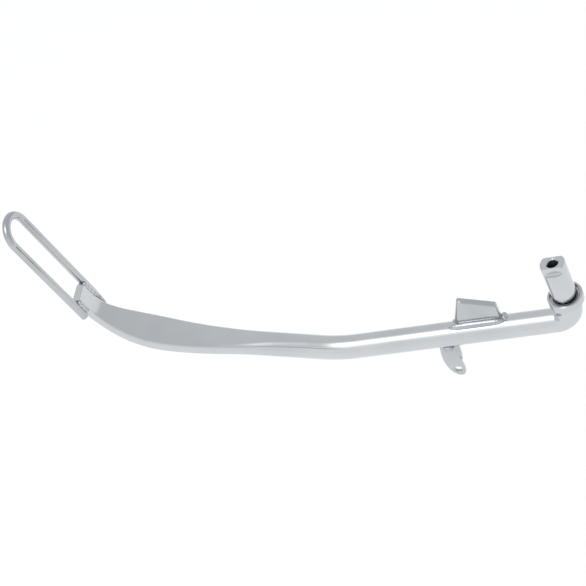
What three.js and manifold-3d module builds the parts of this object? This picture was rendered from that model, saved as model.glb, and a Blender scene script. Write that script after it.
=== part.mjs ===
// Motorcycle kickstand: a bent round bar with a forged blade, welded up and plated.
// Millimetres. The origin is on the pivot axis at the collar's seat face, +Z runs up the
// pivot pin to its free end, and the leg runs out along -X and sweeps up towards +Z.

import * as THREE from 'three';
import { mergeVertices } from 'three/addons/utils/BufferGeometryUtils.js';
import Module from 'manifold-3d';

const wasm = await Module();
wasm.setup();

// ---- driving dimensions ----
const gap = 0.3;                 // clearance left between pieces that are welded together
const barRadius = 7.9;           // 5/8 in round bar
const legDrop = 22.5;            // seat face down to the leg's centre line
const elbowRadius = 11.5;        // centre line of the bend under the collar

const pinLength = 29.4;          // seat face to the pin's free end
const pinChamfer = 0.9;
const flatLength = 4.9;          // double-D end that drives the stop washer
const acrossFlats = 10.2;
const tapRadius = 3.3;           // bore of the tapped hole in the pin's end
const tapDepth = 20;
const tapMouthRadius = 4.1;
const drillPoint = 2;            // depth of the cone at the hole's bottom

const collarRadius = 11.2;
const collarHeight = 5.8;
const recessRadius = 9.6;
const recessDepth = 3.2;
const landRadius = 8.8;          // low step between the recess and the pin
const landDrop = 1.5;
const lipRound = 0.7;
const collarFillet = 1.3;        // weld fillet under the collar

const kneeX = -154.5;            // where the bar takes its slight bend upwards
const kneeAngle = 17;            // degrees above the straight
const kneeRadius = 80;
const sweepStart = 73;           // from the knee to where the blade starts to curve up
const tongueAngle = 78.5;        // degrees, of the blade's tongue and the loop
const tongueStart = [-301.8, 56.5];
const tongueLength = 8;

// Forged sections: distance past the knee, half width, half thickness, corner radius.
const forging = [
  [20, 7.9, 7.9, 7.9],
  [42, 8.0, 6.8, 6.4],
  [60, 8.4, 5.3, 4.6],
  [75, 9.1, 4.6, 3.2],
  [95, 10.6, 4.2, 2.6],
  [118, 12.0, 4.0, 2.4],
  [135, 11.3, 3.6, 2.2],
  [150, 9.0, 3.3, 2.0],
  [161, 7.4, 3.1, 1.8],
  [190, 7.2, 3.0, 1.6],
];

const wireRadius = 2.6;
const loopBendRadius = 11.4;
const loopLength = 70;           // start of the tongue to the centre of the loop's end bend
const wireSpacing = 22;          // wire centres at the tongue
const nearWireTail = 4;          // wire past the start of the tongue, along the blade's edges
const farWireTail = 8;

const stopThickness = 4.8;       // 3/16 in plate
const stopFront = -1.2;
const stopLeft = -76.4;          // left end at the bar, and how far it leans in at the top
const stopLean = 9.2;
const stopRight = -44;
const stopBottom = -18;
const stopTop = 7.2;             // height of the top edge at its left corner
const stopSlope = 20.5;          // degrees that the top edge falls towards the pin
const stopEdgeRound = 4.4;

const tabThickness = 4;
const tabFront = -3.2;
const tabTop = -27;
const tabRight = -79.6;
const tabHole = [-84, -54.3];
const tabHoleRadius = 2.55;

const plateBeadRadius = 2.3;
const tabBeadRadius = 2.4;
const loopBeadRadius = 1.9;
const loopWeldSpread = 8.1;      // bead centres from the tongue's middle, and from its mid plane
const loopWeldLift = 2.2;
const ripplePitch = 2.2;         // spacing of the ripples along a weld bead

const quarterFacets = 10;        // facets in each quarter of the bar's section
const beadFacets = 4;
const roundFacets = 40;

// ---- materials ----
const plated = (roughness) => new THREE.MeshStandardMaterial({
  color: 0xc9cdd0,
  metalness: 1,
  roughness,
});

// ---- solids ----
function toSolid(geometry) {
  const bare = geometry.clone();
  bare.deleteAttribute('normal');
  bare.deleteAttribute('uv');
  const merged = mergeVertices(bare, 1e-4);
  return new wasm.Manifold(new wasm.Mesh({
    numProp: 3,
    vertProperties: new Float32Array(merged.attributes.position.array),
    triVerts: new Uint32Array(merged.index.array),
  }));
}

function toGeometry(solid) {
  const mesh = solid.getMesh();
  const geometry = new THREE.BufferGeometry();
  geometry.setAttribute('position', new THREE.BufferAttribute(mesh.vertProperties, 3));
  geometry.setIndex(new THREE.BufferAttribute(mesh.triVerts, 1));
  geometry.computeVertexNormals();
  return geometry;
}

function piece(name, geometry, roughness) {
  const mesh = new THREE.Mesh(geometry, plated(roughness));
  mesh.name = name;
  return mesh;
}

// Skins a list of rings of points, all of one length, and closes both ends flat.
function loft(rings) {
  const count = rings[0].length;
  const points = rings.flat();
  const faces = [];
  for (let ring = 0; ring + 1 < rings.length; ring += 1) {
    for (let i = 0; i < count; i += 1) {
      const a = ring * count + i;
      const b = ring * count + (i + 1) % count;
      faces.push(a, b + count, b, a, a + count, b + count);
    }
  }
  [0, rings.length - 1].forEach((ring, last) => {
    const centre = new THREE.Vector3();
    rings[ring].forEach((point) => centre.addScaledVector(point, 1 / count));
    const hub = points.push(centre) - 1;
    for (let i = 0; i < count; i += 1) {
      const a = ring * count + i;
      const b = ring * count + (i + 1) % count;
      faces.push(hub, ...(last ? [b, a] : [a, b]));
    }
  });
  const geometry = new THREE.BufferGeometry().setFromPoints(points);
  geometry.setIndex(faces);
  return geometry;
}

function turned(profile) {
  const points = profile.map(([radius, z]) => new THREE.Vector2(radius, z));
  return toSolid(new THREE.LatheGeometry(points, roundFacets).rotateX(Math.PI / 2));
}

function block(width, depth, height, x, y, z) {
  return toSolid(new THREE.BoxGeometry(width, depth, height).translate(x, y, z));
}

const degrees = THREE.MathUtils.degToRad;
const mix = THREE.MathUtils.lerp;
const across = new THREE.Vector3(0, 1, 0);
const heading = (angle) => new THREE.Vector3(-Math.cos(degrees(angle)), 0, Math.sin(degrees(angle)));

// A station is a point on a centre line, its direction and the section there.
function ringAt({ at, along, side, halfWidth, halfThickness, corner, facets = quarterFacets }) {
  const up = side.clone().cross(along);
  const ring = [];
  for (let quarter = 0; quarter < 4; quarter += 1) {
    for (let i = 0; i < facets; i += 1) {
      const angle = (quarter + i / (facets - 1)) * Math.PI / 2;
      const u = Math.cos(angle) * corner + [1, -1, -1, 1][quarter] * (halfWidth - corner);
      const v = Math.sin(angle) * corner + [1, 1, -1, -1][quarter] * (halfThickness - corner);
      ring.push(at.clone().addScaledVector(side, u).addScaledVector(up, v));
    }
  }
  return ring;
}

const roundSection = (radius) => ({ halfWidth: radius, halfThickness: radius, corner: radius });

// ---- leg bar: pin, elbow, straight, knee and forged blade, all of one bar ----
const knee = new THREE.Vector3(kneeX, 0, -legDrop);
const tongueFoot = new THREE.Vector3(tongueStart[0], 0, tongueStart[1]);

function pinStations() {
  const stationAt = (z, radius) => ({
    at: new THREE.Vector3(0, 0, z),
    along: new THREE.Vector3(0, 0, -1),
    side: across,
    ...roundSection(radius),
  });
  return [
    stationAt(pinLength, barRadius - pinChamfer),
    stationAt(pinLength - pinChamfer, barRadius),
  ];
}

function elbowStations() {
  const steps = 12;
  return Array.from({ length: steps + 1 }, (_, i) => {
    const turn = (i / steps) * Math.PI / 2;
    return {
      at: new THREE.Vector3(
        elbowRadius * (Math.cos(turn) - 1),
        0,
        elbowRadius * (1 - Math.sin(turn)) - legDrop,
      ),
      along: new THREE.Vector3(-Math.sin(turn), 0, -Math.cos(turn)),
      side: across,
      ...roundSection(barRadius),
    };
  });
}

function kneeStations() {
  const steps = 4;
  const start = kneeX + kneeRadius * Math.tan(degrees(kneeAngle / 2));
  return Array.from({ length: steps + 1 }, (_, i) => {
    const angle = degrees(kneeAngle * i / steps);
    return {
      at: new THREE.Vector3(
        start - kneeRadius * Math.sin(angle),
        0,
        kneeRadius * (1 - Math.cos(angle)) - legDrop,
      ),
      along: heading(kneeAngle * i / steps),
      side: across,
      ...roundSection(barRadius),
    };
  });
}

// The blade runs straight on from the knee, sweeps up like a ski and ends in a straight
// tongue. The sweep's control point is where its two straight runs would meet.
function bladeCurve() {
  const out = heading(kneeAngle);
  const back = heading(tongueAngle);
  const span = tongueFoot.clone().sub(knee);
  const run = (span.x * back.z - span.z * back.x) / (out.x * back.z - out.z * back.x);
  const corner = knee.clone().addScaledVector(out, run);
  const start = knee.clone().addScaledVector(out, sweepStart);
  const path = new THREE.CurvePath();
  path.add(new THREE.LineCurve3(knee.clone(), start));
  path.add(new THREE.QuadraticBezierCurve3(start, corner, tongueFoot));
  path.add(new THREE.LineCurve3(tongueFoot, tongueFoot.clone().addScaledVector(back, tongueLength)));
  return path;
}

function bladeStations() {
  const steps = 44;
  const curve = bladeCurve();
  const length = curve.getLength();
  const first = forging[0][0];
  const sections = new THREE.CubicInterpolant(
    forging.map((row) => row[0]),
    forging.flatMap((row) => row.slice(1)),
    3,
    new Float32Array(3),
  );
  return Array.from({ length: steps + 1 }, (_, i) => {
    const distance = mix(first, length, i / steps);
    const along = curve.getTangentAt(distance / length);
    const [halfWidth, halfThickness, corner] = sections.evaluate(distance);
    return {
      at: curve.getPointAt(distance / length),
      along,
      side: across,
      halfWidth,
      halfThickness,
      corner: Math.min(corner, halfThickness, halfWidth),
    };
  });
}

function tappedHole() {
  const bottom = pinLength - tapDepth;
  const above = 1;
  const profile = [
    [0, bottom - drillPoint],
    [tapRadius, bottom],
    [tapRadius, pinLength - (tapMouthRadius - tapRadius)],
    [tapMouthRadius + above, pinLength + above],
    [0, pinLength + above],
  ];
  return turned(profile);
}

function grown(station, extra) {
  return {
    ...station,
    halfWidth: station.halfWidth + extra,
    halfThickness: station.halfThickness + extra,
    corner: station.corner + extra,
  };
}

// The bar's outer form. With extra, it is a cutter that leaves a gap to the bar.
function barForm(extra = 0) {
  const stations = [
    ...pinStations(),
    ...elbowStations(),
    ...kneeStations(),
    ...bladeStations(),
  ];
  return toSolid(loft(stations.map((station) => ringAt(grown(station, extra)))));
}

function legBar() {
  let bar = barForm().subtract(tappedHole());
  [1, -1].forEach((side) => {
    bar = bar.subtract(block(40, 10, flatLength * 2, 0, side * (acrossFlats / 2 + 5), pinLength));
  });
  return piece('leg_bar', toGeometry(bar), 0.12);
}

// ---- collar: thrust ring with a recess round the foot of the pin ----
function arcPoints(cx, cy, radius, from, to, steps = 4) {
  return Array.from({ length: steps + 1 }, (_, i) => {
    const angle = degrees(mix(from, to, i / steps));
    return [cx + radius * Math.cos(angle), cy + radius * Math.sin(angle)];
  });
}

function collar() {
  const bore = barRadius + gap;
  const outline = [
    [bore, -collarHeight],
    ...arcPoints(collarRadius - lipRound, lipRound - collarHeight, lipRound, -90, 0),
    ...arcPoints(collarRadius - lipRound, -lipRound, lipRound, 0, 90),
    [recessRadius, 0],
    [recessRadius, -recessDepth],
    [landRadius, -recessDepth],
    [landRadius, -landDrop],
    [bore, -landDrop],
    [bore, -collarHeight],
  ];
  return piece('pivot_collar', toGeometry(turned(outline)), 0.18);
}

// A fillet of weld between the collar's underside and the bar.
function collarWeld() {
  const inner = barRadius + gap;
  const top = -collarHeight - gap;
  const hollow = arcPoints(inner + collarFillet, top - collarFillet, collarFillet - 0.35, 90, 180);
  const outline = [
    [inner, top],
    [inner, top - collarFillet],
    ...hollow.reverse(),
    [inner + collarFillet, top],
    [inner, top],
  ];
  return piece('collar_weld', toGeometry(turned(outline)), 0.25);
}

// ---- toe loop: a wire hairpin welded along both edges of the tongue ----
function loopStations() {
  const out = heading(tongueAngle);
  const centre = tongueFoot.clone().addScaledVector(out, loopLength);
  const spread = Math.asin((loopBendRadius - wireSpacing / 2) / loopLength);
  const straight = loopLength * Math.cos(spread);
  const steps = 20;
  const bend = Array.from({ length: steps + 1 }, (_, i) => {
    // Turns from the near wire, round the end, to the far one.
    const turn = mix(-Math.PI / 2 - spread, Math.PI / 2 + spread, i / steps);
    const radial = out.clone().multiplyScalar(Math.cos(turn)).addScaledVector(across, Math.sin(turn));
    return {
      at: centre.clone().addScaledVector(radial, loopBendRadius),
      along: across.clone().multiplyScalar(Math.cos(turn)).addScaledVector(out, -Math.sin(turn)),
      side: radial,
      ...roundSection(wireRadius),
    };
  });
  const first = bend[0];
  const last = bend[steps];
  const nearEnd = first.at.clone().addScaledVector(first.along, -straight - nearWireTail);
  const farEnd = last.at.clone().addScaledVector(last.along, straight + farWireTail);
  return [{ ...first, at: nearEnd }, ...bend, { ...last, at: farEnd }];
}

function loopForm(extra = 0) {
  return toSolid(loft(loopStations().map((station) => ringAt(grown(station, extra)))));
}

function toeLoop() {
  return piece('toe_loop', toGeometry(loopForm()), 0.15);
}

// ---- stop plate: stands on the bar and meets the frame's stop ----
function stopOutline(z, extra) {
  const front = stopFront - extra;
  const back = stopFront + stopThickness + extra;
  const left = stopLeft - extra + stopLean * (z - stopBottom) / (stopTop - stopBottom);
  const right = stopRight + extra;
  const small = 0.7;
  return [
    ...arcPoints(left + stopEdgeRound, front + stopEdgeRound, stopEdgeRound, 180, 270, 8),
    ...arcPoints(right - small, front + small, small, 270, 360, 3),
    ...arcPoints(right - small, back - small, small, 0, 90, 3),
    [left + 0.4, back],
    [left, back - 0.4],
  ].map(([x, y]) => new THREE.Vector3(x, y, z)).reverse();
}

// The trimmed plate before it is cut to the bar. With extra, it is a slightly larger cutter.
function stopForm(extra = 0) {
  const plate = toSolid(loft([stopOutline(stopBottom, extra), stopOutline(stopTop + 4, extra)]));
  const trim = new THREE.BoxGeometry(80, 30, 20).translate(0, 0, 10);
  trim.rotateY(degrees(stopSlope));
  trim.translate(stopLeft + stopLean, 0, stopTop);
  return plate.subtract(toSolid(trim));
}

function stopPlate() {
  return piece('stop_plate', toGeometry(stopForm().subtract(barForm(gap))), 0.14);
}

// ---- spring tab: carries the return spring's hook ----
function tabOutline(y) {
  const shape = new THREE.Path();
  shape.moveTo(tabRight, tabTop);
  shape.lineTo(tabRight, -54);
  shape.quadraticCurveTo(tabRight, -60.4, -83.4, -60.4);
  shape.bezierCurveTo(-88.4, -60, -91.4, -50.5, -91, -43);
  shape.quadraticCurveTo(-90.7, -36, -88.8, tabTop);
  return shape.getPoints(10).map((point) => new THREE.Vector3(point.x, y, point.y));
}

function tabForm(extra = 0) {
  const back = tabFront + tabThickness;
  return toSolid(loft([tabOutline(back + extra), tabOutline(tabFront - extra)]));
}

function springTab() {
  const drill = new THREE.CylinderGeometry(tabHoleRadius, tabHoleRadius, 20, roundFacets);
  drill.translate(tabHole[0], 0, tabHole[1]);
  const tab = tabForm().subtract(toSolid(drill)).subtract(barForm(gap));
  return piece('spring_tab', toGeometry(tab), 0.16);
}

// ---- weld beads: rippled runs of filler, cut clear of the pieces that they join ----
const roundedEnds = (t) => Math.sqrt(Math.max(1 - Math.abs(2 * t - 1) ** 6, 0.12));
const fading = (t) => Math.sqrt(1 - 0.95 * t);

function beadForm(stations, radius, taper = roundedEnds) {
  const last = stations.length - 1;
  return toSolid(loft(stations.map(({ at, along, side }, i) => {
    const ripple = i % 2 ? 1.05 : 1;
    const size = radius * taper(i / last) * ripple;
    return ringAt({ at, along, side, facets: beadFacets, ...roundSection(size) });
  })));
}

function bead(name, form, cutters) {
  const solid = cutters.reduce((rest, cutter) => rest.subtract(cutter), form);
  return piece(name, toGeometry(solid), 0.3);
}

function straightRun(from, to) {
  const length = from.distanceTo(to);
  const steps = Math.max(6, 2 * Math.round(length / ripplePitch));
  const along = to.clone().sub(from).normalize();
  const side = Math.abs(along.y) > 0.9 ? new THREE.Vector3(1, 0, 0) : across;
  return Array.from({ length: steps + 1 }, (_, i) => ({
    at: from.clone().lerp(to, i / steps),
    along,
    side,
  }));
}

const place = (x, y, z) => new THREE.Vector3(x, y, z);

function stopWelds() {
  const cutters = [barForm(gap), stopForm(gap)];
  const back = stopFront + stopThickness;
  const frontRun = straightRun(
    place(stopLeft - 2.2, stopFront - 0.7, -14.5),
    place(stopRight + 1.4, stopFront - 0.7, -14.5),
  );
  const backRun = straightRun(
    place(stopLeft - 0.6, back + 0.9, -16.2),
    place(stopRight - 1.6, back + 0.9, -16.2),
  );
  const endRun = straightRun(
    place(stopRight + 1.4, stopFront, -14.6),
    place(stopRight + 1.4, back + 0.8, -15.4),
  );
  const frontCutter = beadForm(frontRun, plateBeadRadius + gap);
  return [
    bead('stop_weld_front', beadForm(frontRun, plateBeadRadius), cutters),
    bead('stop_weld_back', beadForm(backRun, plateBeadRadius), cutters),
    bead('stop_weld_end', beadForm(endRun, plateBeadRadius), [...cutters, frontCutter]),
  ];
}

function tabWelds() {
  const cutters = [barForm(gap), tabForm(gap)];
  const back = tabFront + tabThickness;
  const frontRun = straightRun(place(-87, tabFront - 0.9, -31.6), place(-80.8, tabFront - 0.9, -31.9));
  const backRun = straightRun(place(-89, back + 1.2, -31), place(-80.8, back + 1.2, -31));
  const endRun = straightRun(
    place(tabRight + 0.6, tabFront + tabThickness / 2, -30),
    place(tabRight + 0.6, tabFront + tabThickness / 2, -46),
  );
  return [
    bead('tab_weld_front', beadForm(frontRun, tabBeadRadius), cutters),
    bead('tab_weld_back', beadForm(backRun, tabBeadRadius), cutters),
    bead('tab_weld_end', beadForm(endRun, tabBeadRadius, fading), [
      ...cutters,
      beadForm(frontRun, tabBeadRadius + gap),
      beadForm(backRun, tabBeadRadius + gap),
    ]),
  ];
}

// Four runs fill the valleys between the tongue's edges and the wire, above and below.
function loopWelds() {
  const cutters = [barForm(gap), loopForm(gap)];
  const curve = bladeCurve();
  const length = curve.getLength();
  const steps = 12;
  const welds = [];
  [['near', -1, nearWireTail], ['far', 1, farWireTail]].forEach(([edge, sign, tail]) => {
    [['upper', 1], ['lower', -1]].forEach(([face, lift]) => {
      const start = length - tongueLength - tail + 1;
      const run = Array.from({ length: steps + 1 }, (_, i) => {
        const distance = mix(start, length - 0.5, i / steps);
        const along = curve.getTangentAt(distance / length);
        const up = across.clone().cross(along);
        const at = curve.getPointAt(distance / length)
          .addScaledVector(across, sign * loopWeldSpread)
          .addScaledVector(up, lift * loopWeldLift);
        return { at, along, side: across };
      });
      welds.push(bead(`loop_weld_${edge}_${face}`, beadForm(run, loopBeadRadius), cutters));
    });
  });
  return welds;
}

export const kickstand = new THREE.Group();
kickstand.name = 'kickstand';
kickstand.add(
  legBar(),
  collar(),
  collarWeld(),
  toeLoop(),
  stopPlate(),
  springTab(),
  ...stopWelds(),
  ...tabWelds(),
  ...loopWelds(),
);

export default kickstand;
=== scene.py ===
# Motorcycle kickstand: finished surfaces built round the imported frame. Metres, with +Z up the
# pivot pin, the leg running out along -X, and the origin on the pin's axis at the collar's seat.

import math

import bpy
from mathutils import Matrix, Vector


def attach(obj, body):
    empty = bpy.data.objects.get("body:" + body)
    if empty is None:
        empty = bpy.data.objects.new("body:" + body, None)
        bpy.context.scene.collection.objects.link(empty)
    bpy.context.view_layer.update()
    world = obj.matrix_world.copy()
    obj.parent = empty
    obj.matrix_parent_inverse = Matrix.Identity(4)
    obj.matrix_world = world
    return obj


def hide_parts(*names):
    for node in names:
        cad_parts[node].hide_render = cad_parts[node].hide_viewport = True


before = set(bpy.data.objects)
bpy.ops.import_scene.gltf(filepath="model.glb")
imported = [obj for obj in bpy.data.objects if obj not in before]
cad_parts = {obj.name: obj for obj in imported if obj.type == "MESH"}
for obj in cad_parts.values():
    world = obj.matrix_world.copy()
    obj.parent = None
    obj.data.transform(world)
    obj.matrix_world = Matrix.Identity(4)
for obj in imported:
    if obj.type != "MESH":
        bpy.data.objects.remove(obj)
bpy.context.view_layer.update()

# ---- Camera, floor and studio light ----
# A plain studio: a white paper floor well below the stand, lit evenly, one softbox overhead, a
# small black flag far to the right, and a pale room that is a little greyer behind the stand.

camera = bpy.data.objects.new("camera", bpy.data.cameras.new("camera"))
bpy.context.scene.collection.objects.link(camera)
camera.location = (0.2713, -0.7890, 0.8782)
camera.rotation_euler = [math.radians(angle) for angle in (43.143, 20.636, 8.345)]
camera.data.lens = 120.97
camera.data.clip_start = 0.01
bpy.context.scene.camera = camera
bpy.context.scene.view_settings.view_transform = "Standard"


def linear(hex_colour):
    """An sRGB hex colour as linear RGBA."""
    channels = [int(hex_colour[i:i + 2], 16) / 255 for i in (1, 3, 5)]
    return [c / 12.92 if c <= 0.04045 else ((c + 0.055) / 1.055) ** 2.4 for c in channels] + [1]


def add_node(tree, kind, links=None, **values):
    """Adds a node, gives it its own settings or its sockets their values, and links its inputs."""
    made = tree.nodes.new(kind)
    for name, value in values.items():
        if hasattr(made, name):
            setattr(made, name, value)
        else:
            made.inputs[name.replace("_", " ")].default_value = value
    for name, source in (links or {}).items():
        tree.links.new(source, made.inputs[name])
    return made


bpy.ops.object.select_all(action="DESELECT")
floor_height = -0.45
bpy.ops.mesh.primitive_plane_add(size=12, location=(-0.16, 0, floor_height))
floor = bpy.context.object
floor.name = "studio_floor"
# White background paper: matt fibres scatter the light evenly, with almost no sheen.
paper = bpy.data.materials.new("matt_white_paper")
paper.use_nodes = True
paper_shader = paper.node_tree.nodes["Principled BSDF"]
paper_shader.inputs["Base Color"].default_value = linear("#ebebea")
paper_shader.inputs["Roughness"].default_value = 0.9
paper_shader.inputs["Specular IOR Level"].default_value = 0.1
floor.data.materials.append(paper)

# The softbox is out of view, up and to the left, where the bar's top throws it back.
softbox = bpy.data.objects.new("overhead_softbox", bpy.data.lights.new("overhead_softbox", "AREA"))
bpy.context.scene.collection.objects.link(softbox)
softbox.data.shape = "RECTANGLE"
softbox.data.size = 0.40
softbox.data.size_y = 0.50
softbox.data.energy = 1.2
softbox.location = (-0.43, -0.42, 1.25)
softbox.visible_camera = False

# A very wide light keeps the paper white without a lamp of its own showing in the plating.
paper_light = bpy.data.objects.new("paper_light", bpy.data.lights.new("paper_light", "SUN"))
bpy.context.scene.collection.objects.link(paper_light)
paper_light.data.energy = 1.03
paper_light.data.angle = math.radians(150)
paper_light.visible_glossy = False

bpy.ops.object.select_all(action="DESELECT")
bpy.ops.mesh.primitive_plane_add(size=2, location=(1.30, -0.50, floor_height + 0.01))
flag = bpy.context.object
flag.name = "black_flag"
flag.scale = (0.20, 0.24, 1)
# Only polished metal sees the flag, as a thin dark line along the wires of the toe loop.
flag.visible_camera = False
flag.visible_diffuse = False
flag.visible_shadow = False
# Black wool felt: matted fibres take in nearly all the light and give no sheen.
felt = bpy.data.materials.new("black_wool_felt")
felt.use_nodes = True
felt_shader = felt.node_tree.nodes["Principled BSDF"]
felt_shader.inputs["Base Color"].default_value = linear("#2c2d2e")
felt_shader.inputs["Roughness"].default_value = 1.0
felt_shader.inputs["Specular IOR Level"].default_value = 0.0
flag.data.materials.append(felt)

room = bpy.data.worlds.new("pale_room")
bpy.context.scene.world = room
room.use_nodes = True
room_tree = room.node_tree
room_tree.nodes.clear()
# The walls are white in front of the stand and fall to a light grey behind it.
outlook = add_node(room_tree, "ShaderNodeTexCoord").outputs["Generated"]
outward = add_node(room_tree, "ShaderNodeSeparateXYZ", {"Vector": outlook})
depth = add_node(room_tree, "ShaderNodeMapRange", {"Value": outward.outputs["Y"]}, From_Min=-1.0)
walls = add_node(room_tree, "ShaderNodeValToRGB", {"Fac": depth.outputs["Result"]})
walls.color_ramp.interpolation = "EASE"
walls.color_ramp.elements[0].position = 0.11
walls.color_ramp.elements[0].color = linear("#fcfcfc")
walls.color_ramp.elements[1].position = 0.24
walls.color_ramp.elements[1].color = linear("#e2e4e6")


def patch(centre, size):
    """Strength of an oval patch of the room, as seen from the stand: 1 in its middle, 0 outside."""
    scale = [1 / half for half in size]
    spot = add_node(room_tree, "ShaderNodeMapping", {"Vector": outlook}, Scale=scale,
                    Location=[-c * k for c, k in zip(centre, scale)])
    return add_node(room_tree, "ShaderNodeTexGradient", {"Vector": spot.outputs["Vector"]},
                    gradient_type="SPHERICAL").outputs["Fac"]


# The bell of an overhead lamp makes the white stripe along the bar, its frame the fine dark line
# beside that stripe, and the room is a little dimmer to the right.
lamp_bell = patch((-0.24, -0.27, 0.9), (0.46, 0.54, 3.0))
halo = add_node(room_tree, "ShaderNodeMapRange", {"Value": lamp_bell},
                interpolation_type="SMOOTHSTEP", From_Max=0.7, To_Max=1.2)
lamp_frame = patch((0.05, -0.79, 0.6), (0.28, 0.07, 3.0))
frame_edge = add_node(room_tree, "ShaderNodeMapRange", {"Value": lamp_frame}, From_Max=0.6, To_Max=-0.4)
shade = add_node(room_tree, "ShaderNodeMapRange", {"Value": outward.outputs["X"]},
                 interpolation_type="SMOOTHSTEP", From_Min=0.0, From_Max=0.3, To_Min=1.0, To_Max=0.92)
lamp = add_node(room_tree, "ShaderNodeMath",
                {0: halo.outputs["Result"], 1: frame_edge.outputs["Result"]}, operation="ADD")
strength = add_node(room_tree, "ShaderNodeMath",
                    {0: lamp.outputs["Value"], 1: shade.outputs["Result"]}, operation="ADD")
glow = add_node(room_tree, "ShaderNodeBackground",
                {"Color": walls.outputs["Color"], "Strength": strength.outputs["Value"]})
add_node(room_tree, "ShaderNodeOutputWorld", {"Surface": glow.outputs["Background"]})

# ---- Leg bar ----
# One length of 5/8 in round steel bar. Its end is bent up into the pivot pin, which is tapped
# and flatted; the leg is bent at the knee, and its last third is drop forged into a thin blade
# that sweeps up to a narrow tongue. It is polished all over and then chrome plated.

across = Vector((0, 1, 0))
bar_radius = 0.0079
leg_drop = 0.0225
elbow_radius = 0.0115
pin_length = 0.0294
pin_chamfer = 0.0009
flat_length = 0.0049
half_flats = 0.0051
flat_edge = 0.0003
ledge_edge = 0.0002
tap_radius = 0.0033
tap_mouth = 0.0041
tap_depth = 0.020
countersink = 0.0009
drill_point = 0.002
unthreaded = 0.006
thread_pitch = 0.00125
thread_height = 0.00055
knee_x = -0.1545
knee_angle = math.radians(17)
knee_radius = 0.080
sweep_start = 0.073
tongue_angle = math.radians(78.5)
tongue_foot = Vector((-0.3018, 0, 0.0565))
tongue_length = 0.008
tip_edge = 0.0004

# Forged sections: distance past the knee, half width, half thickness, corner radius, in mm.
forging = [
    (20, 7.9, 7.9, 7.9), (42, 8.0, 6.8, 6.4), (60, 8.4, 5.3, 4.6), (75, 9.1, 4.6, 3.2),
    (95, 10.6, 4.2, 2.6), (118, 12.0, 4.0, 2.4), (135, 11.3, 3.6, 2.2), (150, 9.0, 3.3, 2.0),
    (161, 7.4, 3.1, 1.8), (190, 7.2, 3.0, 1.6),
]


def roll(name, rings):
    """Rolls a flat grid into a closed skin whose rows follow the rings, and fills open ends."""
    around = len(rings[0])
    rows = len(rings) - 1
    bpy.ops.object.select_all(action="DESELECT")
    bpy.ops.mesh.primitive_grid_add(x_subdivisions=around, y_subdivisions=rows, size=2)
    skin = bpy.context.object
    skin.name = name
    for vertex in skin.data.vertices:
        column = round((vertex.co.x + 1) / 2 * around)
        row = round((vertex.co.y + 1) / 2 * rows)
        vertex.co = rings[row][column % around]
    bpy.ops.object.mode_set(mode="EDIT")
    bpy.ops.mesh.select_all(action="SELECT")
    bpy.ops.mesh.remove_doubles(threshold=1e-6)
    bpy.ops.mesh.fill_holes(sides=0)
    bpy.ops.mesh.select_all(action="SELECT")
    bpy.ops.mesh.normals_make_consistent(inside=False)
    bpy.ops.object.mode_set(mode="OBJECT")
    bpy.ops.object.shade_smooth_by_angle(angle=math.radians(28))
    return skin


def section(centre, along, half_width, half_thickness, corner, side=across):
    """A ring of points square to a direction: four corner arcs joined by flats."""
    corner_steps = 12
    flat_steps = 4
    up = side.cross(along)
    arcs = []
    for quarter, (across_sign, up_sign) in enumerate(((1, 1), (-1, 1), (-1, -1), (1, -1))):
        arc = []
        for step in range(corner_steps + 1):
            angle = (quarter + step / corner_steps) * math.pi / 2
            u = math.cos(angle) * corner + across_sign * (half_width - corner)
            v = math.sin(angle) * corner + up_sign * (half_thickness - corner)
            arc.append(centre + side * u + up * v)
        arcs.append(arc)
    ring = []
    for arc, following in zip(arcs, arcs[1:] + arcs[:1]):
        ring += arc
        ring += [arc[-1].lerp(following[0], step / flat_steps) for step in range(1, flat_steps)]
    return ring


def round_section(centre, along, radius, side=across):
    """A round ring of points square to a direction."""
    return section(centre, along, radius, radius, radius, side)


def pin_ring(z, radius, half_depth=1.0):
    """A ring of the upright pin, cut off flat at half_depth each side of its axis."""
    ring = round_section(Vector((0, 0, z)), Vector((0, 0, -1)), radius)
    for point in ring:
        point.y = max(-half_depth, min(half_depth, point.y))
    return ring


def thread_ring(z):
    """A ring of the tapped hole's wall, pushed in and out by a 60 degree helical thread."""
    ring = pin_ring(z, 1)
    for point in ring:
        turn = math.atan2(point.y, point.x) / (2 * math.pi)
        tooth = abs(2 * ((z / thread_pitch - turn) % 1) - 1)
        reach = tap_radius + thread_height * (tooth - 0.5)
        point.x *= reach
        point.y *= reach
    return ring


def heading(angle):
    """The direction out along the leg, raised by an angle."""
    return Vector((-math.cos(angle), 0, math.sin(angle)))


def forged_size(distance):
    """Half width, half thickness and corner radius, eased from one forged section to the next."""
    place = min(max(distance * 1000, forging[0][0]), forging[-1][0])
    i = max(k for k in range(len(forging) - 1) if forging[k][0] <= place)
    before, start, end, after = (forging[min(max(k, 0), len(forging) - 1)] for k in range(i - 1, i + 3))
    span = end[0] - start[0]
    t = (place - start[0]) / span
    sizes = []
    for k in (1, 2, 3):
        rise_in = (end[k] - before[k]) / (end[0] - before[0]) * span
        rise_out = (after[k] - start[k]) / (after[0] - start[0]) * span
        sizes.append((start[k] * (2 * t**3 - 3 * t**2 + 1) + rise_in * (t**3 - 2 * t**2 + t)
                      + end[k] * (3 * t**2 - 2 * t**3) + rise_out * (t**3 - t**2)) / 1000)
    return sizes


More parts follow.
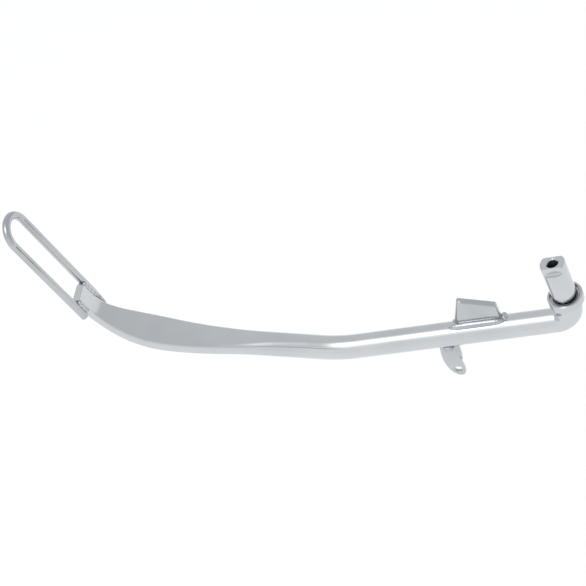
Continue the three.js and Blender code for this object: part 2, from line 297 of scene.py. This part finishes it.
def blade_line():
    """The blade's centre line: (distance past the knee, point, direction) at close steps."""
    sweep_steps = 64
    tongue_steps = 4
    knee = Vector((knee_x, 0, -leg_drop))
    out, up = heading(knee_angle), heading(tongue_angle)
    span = tongue_foot - knee
    corner = knee + out * ((span.x * up.z - span.z * up.x) / (out.x * up.z - out.z * up.x))
    start = knee + out * sweep_start
    straight_mm = range(forging[0][0], round(sweep_start * 1000), 2)
    line = [(d / 1000, knee + out * d / 1000, out) for d in straight_mm]
    line.append((sweep_start, start, out))
    for step in range(1, sweep_steps + 1):
        t = step / sweep_steps
        point = start * (1 - t)**2 + corner * 2 * t * (1 - t) + tongue_foot * t**2
        slope = (corner - start) * (1 - t) + (tongue_foot - corner) * t
        distance = line[-1][0] + (point - line[-1][1]).length
        line.append((distance, point, slope.normalized()))
    foot = line[-1][0]
    for step in range(1, tongue_steps + 1):
        rise = tongue_length * step / tongue_steps
        line.append((foot + rise, tongue_foot + up * rise, up))
    return line


# Rings run up the tapped hole, over the flatted end and down the pin, then out along the leg.
closed = 1e-7
thread_rows = 88
elbow_steps = 24
knee_steps = 8
hole_floor = pin_length - tap_depth
thread_start = hole_floor + unthreaded
thread_end = pin_length - countersink
ledge = pin_length - flat_length
leg_rings = [
    pin_ring(hole_floor - drill_point, closed),
    pin_ring(hole_floor, tap_radius),
    pin_ring(thread_start, tap_radius),
]
for row in range(thread_rows + 1):
    leg_rings.append(thread_ring(thread_start + (thread_end - thread_start) * row / thread_rows))
leg_rings += [
    pin_ring(pin_length, tap_mouth),
    pin_ring(pin_length, bar_radius - pin_chamfer, half_flats - flat_edge),
    pin_ring(pin_length - pin_chamfer / 3, bar_radius - pin_chamfer / 3, half_flats),
    pin_ring(pin_length - pin_chamfer, bar_radius, half_flats),
    pin_ring(ledge + flat_edge, bar_radius, half_flats),
    pin_ring(ledge, bar_radius, half_flats + flat_edge),
    pin_ring(ledge, bar_radius - ledge_edge),
    pin_ring(ledge - ledge_edge, bar_radius),
]
for step in range(elbow_steps + 1):
    turn = step / elbow_steps * math.pi / 2
    centre = Vector((elbow_radius * (math.cos(turn) - 1), 0,
                     elbow_radius * (1 - math.sin(turn)) - leg_drop))
    leg_rings.append(round_section(centre, Vector((-math.sin(turn), 0, -math.cos(turn))), bar_radius))
knee_start = knee_x + knee_radius * math.tan(knee_angle / 2)
for step in range(knee_steps + 1):
    turn = knee_angle * step / knee_steps
    centre = Vector((knee_start - knee_radius * math.sin(turn), 0,
                     knee_radius * (1 - math.cos(turn)) - leg_drop))
    leg_rings.append(round_section(centre, heading(turn), bar_radius))
blade = blade_line()
for distance, point, along in blade[:-1]:
    leg_rings.append(section(point, along, *forged_size(distance)))
# The last full section stands back from the tip by the width of the broken edge.
tip_distance, tip_point, tip_along = blade[-1]
tip_sizes = forged_size(tip_distance)
leg_rings.append(section(tip_point - tip_along * tip_edge, tip_along, *tip_sizes))
leg_rings.append(section(tip_point, tip_along, *(size - tip_edge for size in tip_sizes)))
leg = roll("leg_bar_forging", leg_rings)


def plated(name, pale, deep, gloss, haze, wave_mm, wave_height_mm):
    """Chrome plate: its two tones, its least and most roughness, and the ripple under it."""
    drift_mm = 35
    wipe_mm = 6
    metal = bpy.data.materials.new(name)
    metal.use_nodes = True
    tree = metal.node_tree
    shader = tree.nodes["Principled BSDF"]
    shader.inputs["Metallic"].default_value = 1.0
    place = add_node(tree, "ShaderNodeTexCoord").outputs["Object"]
    cloud = add_node(tree, "ShaderNodeTexNoise", {"Vector": place}, Scale=1000 / drift_mm, Detail=2.0)
    tone = add_node(tree, "ShaderNodeValToRGB", {"Fac": cloud.outputs["Fac"]})
    tone.color_ramp.elements[0].position = 0.35
    tone.color_ramp.elements[0].color = linear(deep)
    tone.color_ramp.elements[1].position = 0.65
    tone.color_ramp.elements[1].color = linear(pale)
    tree.links.new(tone.outputs["Color"], shader.inputs["Base Color"])
    wiping = add_node(tree, "ShaderNodeTexNoise", {"Vector": place}, Scale=1000 / wipe_mm,
                      Detail=6.0, Roughness=0.65)
    dull = add_node(tree, "ShaderNodeMapRange", {"Value": wiping.outputs["Fac"]}, From_Min=0.35,
                    From_Max=0.75, To_Min=gloss, To_Max=haze)
    tree.links.new(dull.outputs["Result"], shader.inputs["Roughness"])
    ripple = add_node(tree, "ShaderNodeTexNoise", {"Vector": place}, Scale=1000 / wave_mm, Detail=1.0)
    relief = add_node(tree, "ShaderNodeBump", {"Height": ripple.outputs["Fac"]}, Strength=1.0,
                      Distance=wave_height_mm / 1000)
    tree.links.new(relief.outputs["Normal"], shader.inputs["Normal"])
    return metal


# Bright chrome plate over polished bar: a cool mirror with the slow ripple of hand polishing.
bright_plate = plated("chrome_plate_on_polished_bar", "#cfd1d3", "#c8cbce",
                      gloss=0.10, haze=0.18, wave_mm=14, wave_height_mm=0.02)
leg.data.materials.append(bright_plate)

# Bare steel with a cut thread, as the plating doesn't reach down the hole; its colour is painted near
# black, a painted shade for the depth of the hole.
hole_shade_mottle_mm = 1.5
painted_shade_thread = bpy.data.materials.new("bare_steel_thread_painted_hole_shade")
painted_shade_thread.use_nodes = True
thread_tree = painted_shade_thread.node_tree
thread_shader = thread_tree.nodes["Principled BSDF"]
thread_shader.inputs["Metallic"].default_value = 1.0
thread_place = add_node(thread_tree, "ShaderNodeTexCoord").outputs["Object"]
# A fine mottle varies the painted shade and the roughness of the thread.
hole_shade_mottle = add_node(thread_tree, "ShaderNodeTexNoise", {"Vector": thread_place},
               Scale=1000 / hole_shade_mottle_mm, Detail=4.0)
hole_shade_tones = add_node(thread_tree, "ShaderNodeValToRGB", {"Fac": hole_shade_mottle.outputs["Fac"]})
hole_shade_tones.color_ramp.elements[0].color = linear("#151716")
hole_shade_tones.color_ramp.elements[1].color = linear("#454947")
thread_tree.links.new(hole_shade_tones.outputs["Color"], thread_shader.inputs["Base Color"])
thread_roughness = add_node(thread_tree, "ShaderNodeMapRange", {"Value": hole_shade_mottle.outputs["Fac"]}, To_Min=0.25, To_Max=0.55)
thread_tree.links.new(thread_roughness.outputs["Result"], thread_shader.inputs["Roughness"])
leg.data.materials.append(painted_shade_thread)
# Faces down the tapped hole take the thread material, painted dark as the hole's shade.
for face in leg.data.polygons:
    down_the_hole = hole_floor - drill_point < face.center.z < thread_end
    if down_the_hole and face.center.xy.length < tap_radius + thread_height:
        face.material_index = 1
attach(leg, "root")
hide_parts("leg_bar")

# ---- Pivot collar ----
# A turned steel ring pushed up the bar and welded underneath. Its raised lip carries the
# bracket's boss, and a groove inside the lip holds grease round the foot of the pin.

collar_radius = 0.0112
collar_height = 0.0058
collar_bore = bar_radius + 0.0003
lip_inner = 0.0096
land_radius = 0.0088
collar_edge = 0.0007
lip_edge = 0.0003
land_edge = 0.0002
land_drop = 0.0015
groove_floor = -0.0032


def arc(radius, z, size, start, end, steps=6):
    """Points (radius, z) of a rounded corner, from one angle to the other in degrees."""
    turns = [math.radians(start + (end - start) * k / steps) for k in range(steps + 1)]
    return [(radius + size * math.cos(t), z + size * math.sin(t)) for t in turns]


def turned_rings(profile, around=128):
    """Rings for a lathe-turned piece whose closed profile is (radius, z)."""
    turns = [2 * math.pi * k / around for k in range(around)]
    return [[Vector((radius * math.cos(t), radius * math.sin(t), z)) for t in turns]
            for radius, z in profile + profile[:1]]


collar_profile = (
    arc(collar_radius - collar_edge, collar_edge - collar_height, collar_edge, -90, 0)
    + arc(collar_radius - collar_edge, -collar_edge, collar_edge, 0, 90)
    + arc(lip_inner + lip_edge, -lip_edge, lip_edge, 90, 180, 4)
    + [(lip_inner, groove_floor), (land_radius, groove_floor)]
    + arc(land_radius - land_edge, -land_drop - land_edge, land_edge, 0, 90, 3)
    + [(collar_bore, -land_drop), (collar_bore, -collar_height)]
)
collar = roll("pivot_collar_ring", turned_rings(collar_profile))
# Bright chrome plate over a turned ring: a clear mirror, with less ripple than the bar has.
turned_plate = plated("chrome_plate_on_turned_ring", "#c9cbce", "#c0c3c7",
                      gloss=0.06, haze=0.16, wave_mm=9, wave_height_mm=0.012)
collar.data.materials.append(turned_plate)
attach(collar, "root")
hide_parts("pivot_collar")

# ---- Weld beads round the collar ----
# MIG weld run all round under the collar, then plated with the rest: a soft-edged cord with faint
# overlapping ripples, a little hazier than the polished bar.


def rippled_ring(centre, along, side, radius, travelled, pitch, lift=0.02):
    """One ring of a weld bead: its skin rises and falls in crescents as the bead travels."""
    around = 28
    bow = 0.22
    up = side.cross(along).normalized()
    ring = []
    for step in range(around):
        turn = 2 * math.pi * step / around
        crescent = travelled / pitch + bow * math.cos(2 * turn)
        swell = radius * (1 - lift + lift * abs(math.sin(math.pi * crescent)))
        ring.append(centre + side * (swell * math.cos(turn)) + up * (swell * math.sin(turn)))
    return ring


fillet_radius = 0.0086
fillet_bead = 0.0013
fillet_drop = 0.0004
fillet_ripples = 28
rings_per_ripple = 8
fillet_length = 2 * math.pi * fillet_radius
fillet_steps = fillet_ripples * rings_per_ripple
fillet_rings = []
for step in range(fillet_steps + 1):
    turn = 2 * math.pi * step / fillet_steps
    outward_side = Vector((math.cos(turn), math.sin(turn), 0))
    fillet_rings.append(rippled_ring(
        outward_side * fillet_radius + Vector((0, 0, -collar_height - fillet_drop)),
        Vector((-math.sin(turn), math.cos(turn), 0)), outward_side, fillet_bead,
        fillet_length * step / fillet_steps, fillet_length / fillet_ripples))
collar_weld = roll("collar_weld_bead", fillet_rings)
# Chrome plate over weld metal that wasn't polished: duller and greyer, with a close ripple.
weld_plate = plated("chrome_plate_on_weld_bead", "#c4c7ca", "#b1b4b8",
                    gloss=0.14, haze=0.30, wave_mm=2.4, wave_height_mm=0.02)
collar_weld.data.materials.append(weld_plate)
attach(collar_weld, "root")
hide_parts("collar_weld")

# ---- Toe loop ----
# A hairpin of drawn steel wire, bent round a peg and welded along both edges of the tongue, so
# that the rider's toe can hook it. Its near end is sheared square, and the weld has melted the
# far end round.

wire_radius = 0.0026
loop_bend = 0.0114
loop_length = 0.070
wire_spacing = 0.022
near_tail = 0.004
far_tail = 0.008
wire_edge = 0.0005
bend_steps = 48

loop_out = heading(tongue_angle)
loop_centre = tongue_foot + loop_out * loop_length
loop_spread = math.asin((loop_bend - wire_spacing / 2) / loop_length)
loop_straight = loop_length * math.cos(loop_spread)
bend = []
for step in range(bend_steps + 1):
    turn = (math.pi / 2 + loop_spread) * (2 * step / bend_steps - 1)
    radial = loop_out * math.cos(turn) + across * math.sin(turn)
    bend.append((loop_centre + radial * loop_bend,
                 across * math.cos(turn) - loop_out * math.sin(turn), radial))
near_point, near_along, near_side = bend[0]
far_point, far_along, far_side = bend[-1]
near_end = near_point - near_along * (loop_straight + near_tail)
far_end = far_point + far_along * (loop_straight + far_tail)
loop_rings = [
    round_section(near_end, near_along, wire_radius - wire_edge, near_side),
    round_section(near_end + near_along * wire_edge, near_along, wire_radius, near_side),
]
loop_rings += [round_section(point, along, wire_radius, side) for point, along, side in bend]
loop_rings += [
    round_section(far_end + far_along * wire_radius * (math.sin(melt) - 1), far_along,
                  wire_radius * math.cos(melt), far_side)
    for melt in (math.radians(angle) for angle in range(0, 90, 10))
]
loop = roll("toe_loop_wire", loop_rings)
# Chrome plate over drawn wire: a greyer mirror, smooth along the wire.
wire_plate = plated("chrome_plate_on_drawn_wire", "#c0c2c5", "#b5b8bc",
                    gloss=0.07, haze=0.16, wave_mm=5, wave_height_mm=0.01)
loop.data.materials.append(wire_plate)
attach(loop, "root")
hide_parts("toe_loop")

# ---- Stop plate ----
# A trapezoid of 3/16 in steel plate, sheared out, with one front edge ground round where it
# meets the frame's rubber. It stands on the bar and was lightly buffed before plating.

stop_front = -0.0012
stop_back = stop_front + 0.0048
stop_foot = -0.018
stop_head = 0.0072
stop_left = -0.0764
stop_lean = 0.0092
stop_right = -0.044
stop_slope = math.radians(20.5)
stop_round = 0.0034
stop_break = 0.0013

bpy.ops.object.select_all(action="DESELECT")
bpy.ops.mesh.primitive_cube_add(size=2)
stop = bpy.context.object
stop.name = "stop_plate_blank"
for vertex in stop.data.vertices:
    left_end = vertex.co.x < 0
    top_edge = vertex.co.z > 0
    head_left = stop_left + stop_lean
    if top_edge and left_end:
        x, z = head_left, stop_head
    elif top_edge:
        x, z = stop_right, stop_head - math.tan(stop_slope) * (stop_right - head_left)
    else:
        x, z = stop_left if left_end else stop_right, stop_foot
    vertex.co = (x, stop_back if vertex.co.y > 0 else stop_front, z)


def round_edges(piece, chosen, width, segments):
    """Bevels the edges of a piece whose two ends the test chooses."""
    bpy.ops.object.mode_set(mode="EDIT")
    bpy.ops.mesh.select_mode(type="EDGE")
    bpy.ops.mesh.select_all(action="DESELECT")
    bpy.ops.object.mode_set(mode="OBJECT")
    for edge in piece.data.edges:
        edge.select = all(chosen(piece.data.vertices[k].co) for k in edge.vertices)
    bpy.ops.object.mode_set(mode="EDIT")
    bpy.ops.mesh.bevel(offset=width, segments=segments, profile=0.5)
    bpy.ops.object.mode_set(mode="OBJECT")


def break_edges(piece, width):
    """Breaks every sharp edge of a piece by a small round, and shades it smooth."""
    soften = piece.modifiers.new("broken_edges", "BEVEL")
    soften.width = width
    soften.segments = 4
    soften.use_clamp_overlap = False
    soften.limit_method = "ANGLE"
    soften.angle_limit = math.radians(35)
    bpy.ops.object.select_all(action="DESELECT")
    piece.select_set(True)
    bpy.context.view_layer.objects.active = piece
    bpy.ops.object.modifier_apply(modifier=soften.name)
    bpy.ops.object.shade_smooth_by_angle(angle=math.radians(28))


stop_middle = (stop_left + stop_right) / 2
round_edges(stop, lambda co: co.y < 0 and co.x < stop_middle, stop_round, segments=8)
break_edges(stop, stop_break)
# Chrome plate over sheared plate: hazier than the bar, as its faces were only lightly buffed.
plate_finish = plated("chrome_plate_on_sheared_plate", "#c3c6c8", "#b9bdbf",
                      gloss=0.12, haze=0.22, wave_mm=11, wave_height_mm=0.03)
stop.data.materials.append(plate_finish)
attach(stop, "root")
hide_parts("stop_plate")

# ---- Spring tab ----
# A tongue of thin steel plate, blanked in a press with rolled-over edges and a punched hole for
# the return spring's hook. It hangs under the bar.

tab_front = -0.0032
tab_thickness = 0.0028
tab_right = -0.0796
tab_top = -0.027
tab_low = -0.0604
tab_hole = (-0.084, -0.0543)
tab_hole_radius = 0.00255
tab_break = 0.0006


def curve_points(controls, steps):
    """Points along a Bezier curve after its start, from its two, three or four controls."""
    order = len(controls) - 1
    points = []
    for step in range(1, steps + 1):
        t = step / steps
        weights = [math.comb(order, k) * t**k * (1 - t)**(order - k) for k in range(order + 1)]
        points.append(tuple(sum(w * c[axis] for w, c in zip(weights, controls)) for axis in (0, 1)))
    return points


# The outline starts at the top left and goes round by the straight right side and the belly.
tab_outline = (
    curve_points([(-0.0888, tab_top), (tab_right, tab_top)], 1)
    + curve_points([(tab_right, tab_top), (tab_right, -0.054)], 1)
    + curve_points([(tab_right, -0.054), (tab_right, tab_low), (-0.0834, tab_low)], 12)
    + curve_points([(-0.0834, tab_low), (-0.0884, -0.060), (-0.0914, -0.0505), (-0.091, -0.043)], 18)
    + curve_points([(-0.091, -0.043), (-0.0907, -0.036), (-0.0888, tab_top)], 8)
)
bpy.ops.object.select_all(action="DESELECT")
bpy.ops.mesh.primitive_circle_add(vertices=len(tab_outline), radius=1, fill_type="NGON")
tab = bpy.context.object
tab.name = "spring_tab_blank"
for vertex, (x, z) in zip(tab.data.vertices, tab_outline):
    vertex.co = (x, tab_front, z)
bpy.ops.object.mode_set(mode="EDIT")
bpy.ops.mesh.select_all(action="SELECT")
bpy.ops.mesh.extrude_region_move(TRANSFORM_OT_translate={"value": (0, tab_thickness, 0)})
bpy.ops.mesh.select_all(action="SELECT")
bpy.ops.mesh.normals_make_consistent(inside=False)
bpy.ops.object.mode_set(mode="OBJECT")
bpy.ops.object.select_all(action="DESELECT")
bpy.ops.mesh.primitive_cylinder_add(vertices=64, radius=tab_hole_radius, depth=0.03,
                                    location=(tab_hole[0], tab_front, tab_hole[1]),
                                    rotation=(math.pi / 2, 0, 0))
punch = bpy.context.object
punching = tab.modifiers.new("punched_hole", "BOOLEAN")
punching.operation = "DIFFERENCE"
punching.object = punch
bpy.context.view_layer.objects.active = tab
bpy.ops.object.modifier_apply(modifier=punching.name)
bpy.data.objects.remove(punch)
break_edges(tab, tab_break)
tab.data.materials.append(plate_finish)
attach(tab, "root")
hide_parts("spring_tab")

# ---- Weld beads of the stop plate, the spring tab and the toe loop ----
# Short MIG runs laid by hand into each corner before plating. The ripples of the plates' runs are
# about 2 mm apart, and those of the toe loop's are coarser.

ripple_pitch = 0.0021
stop_bead = 0.0024
stop_far_bead = 0.0023
tab_bead = 0.0024
loop_bead = 0.0021
loop_end_bead = 0.0025
loop_pitch = 0.0036


def rounded_ends(t):
    """A run's thickness from start to stop, full along its length and rounded at both ends."""
    return math.sqrt(max(1 - abs(2 * t - 1) ** 6, 0.02))


def fading(t):
    """A run's thickness from start to stop, full near its start and thinning away."""
    return math.sqrt(max(1 - t, 0.02)) * math.sqrt(min(1, 0.3 + 8 * t))


def weld_run(name, node, path, radius, taper=rounded_ends, pitch=ripple_pitch, lift=0.02):
    """Lays a bead along a path of (point, direction, side), for the CAD weld named, if any."""
    rings = []
    travelled = 0
    for k, (point, along, side) in enumerate(path):
        if k:
            travelled += (point - path[k - 1][0]).length
        size = radius * taper(k / (len(path) - 1))
        rings.append(rippled_ring(point, along, side, size, travelled, pitch, lift))
    first, last = path[0], path[-1]
    rings.insert(0, rippled_ring(*first, closed, 0, pitch))
    rings.append(rippled_ring(*last, closed, 0, pitch))
    run = roll(name, rings)
    run.data.materials.append(weld_plate)
    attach(run, "root")
    if node:
        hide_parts(node)


def straight_path(start, end, side=across):
    """A straight path for a run, from one point to another, in steps finer than its ripples."""
    fewest_steps = 24
    steps = max(fewest_steps, round((end - start).length / ripple_pitch * rings_per_ripple))
    along = (end - start).normalized()
    return [(start.lerp(end, k / steps), along, side) for k in range(steps + 1)]


weld_run("stop_front_bead", "stop_weld_front", straight_path(
    Vector((stop_left - 0.0022, stop_front - 0.0007, -0.0145)),
    Vector((stop_right + 0.0014, stop_front - 0.0007, -0.0145))), stop_bead)
weld_run("stop_back_bead", "stop_weld_back", straight_path(
    Vector((stop_left - 0.0006, stop_back + 0.0009, -0.0162)),
    Vector((stop_right - 0.0016, stop_back + 0.0009, -0.0162))), stop_far_bead)
weld_run("stop_end_bead", "stop_weld_end", straight_path(
    Vector((stop_right + 0.0014, stop_front, -0.0146)),
    Vector((stop_right + 0.0014, stop_back + 0.0008, -0.0154)), Vector((1, 0, 0))), stop_far_bead)

tab_back = tab_front + tab_thickness
tab_middle = tab_front + tab_thickness / 2
weld_run("tab_front_bead", "tab_weld_front", straight_path(
    Vector((-0.087, tab_front - 0.0009, -0.0316)),
    Vector((-0.0808, tab_front - 0.0009, -0.0319))), tab_bead)
weld_run("tab_back_bead", "tab_weld_back", straight_path(
    Vector((-0.089, tab_back + 0.0012, -0.031)),
    Vector((-0.0808, tab_back + 0.0012, -0.031))), tab_bead)
weld_run("tab_end_bead", "tab_weld_end", straight_path(
    Vector((tab_right + 0.0006, tab_middle, -0.0295)),
    Vector((tab_right + 0.0006, tab_middle, -0.046))), tab_bead, fading)


def blade_place(distance):
    """The blade's centre line at a distance past the knee: its point and its direction."""
    for (start, point, along), (end, next_point, next_along) in zip(blade, blade[1:]):
        if start <= distance <= end:
            t = (distance - start) / (end - start)
            return point.lerp(next_point, t), along.lerp(next_along, t).normalized()
    return blade[-1][1], blade[-1][2]


# Four runs fill the corners between the wire and the tongue, up and down each edge.
seam_steps = 40
seam_out = 0.0081
seam_up = 0.0022
blade_end = blade[-1][0]
seam_end = blade_end - 0.0005
for edge, sign, tail in (("near", -1, near_tail), ("far", 1, far_tail)):
    for face, face_sign in (("upper", 1), ("lower", -1)):
        seam_start = blade_end - tongue_length - tail + 0.001
        seam = []
        for step in range(seam_steps + 1):
            point, along = blade_place(seam_start + (seam_end - seam_start) * step / seam_steps)
            up = across.cross(along)
            seam.append((point + across * (sign * seam_out) + up * (face_sign * seam_up), along, across))
        weld_run(f"loop_{edge}_{face}_bead", f"loop_weld_{edge}_{face}", seam, loop_bead,
                 pitch=loop_pitch, lift=0.16)

# The far weld runs on past the wire's end and washes down on to the blade's edge.
wash_length = 0.009
run_out = blade_place(blade_end - tongue_length - far_tail - wash_length)[0] + across * 0.0088
weld_run("loop_far_end_bead", None, straight_path(far_end - far_along * 0.003, run_out),
         loop_end_bead, fading, pitch=loop_pitch, lift=0.10)
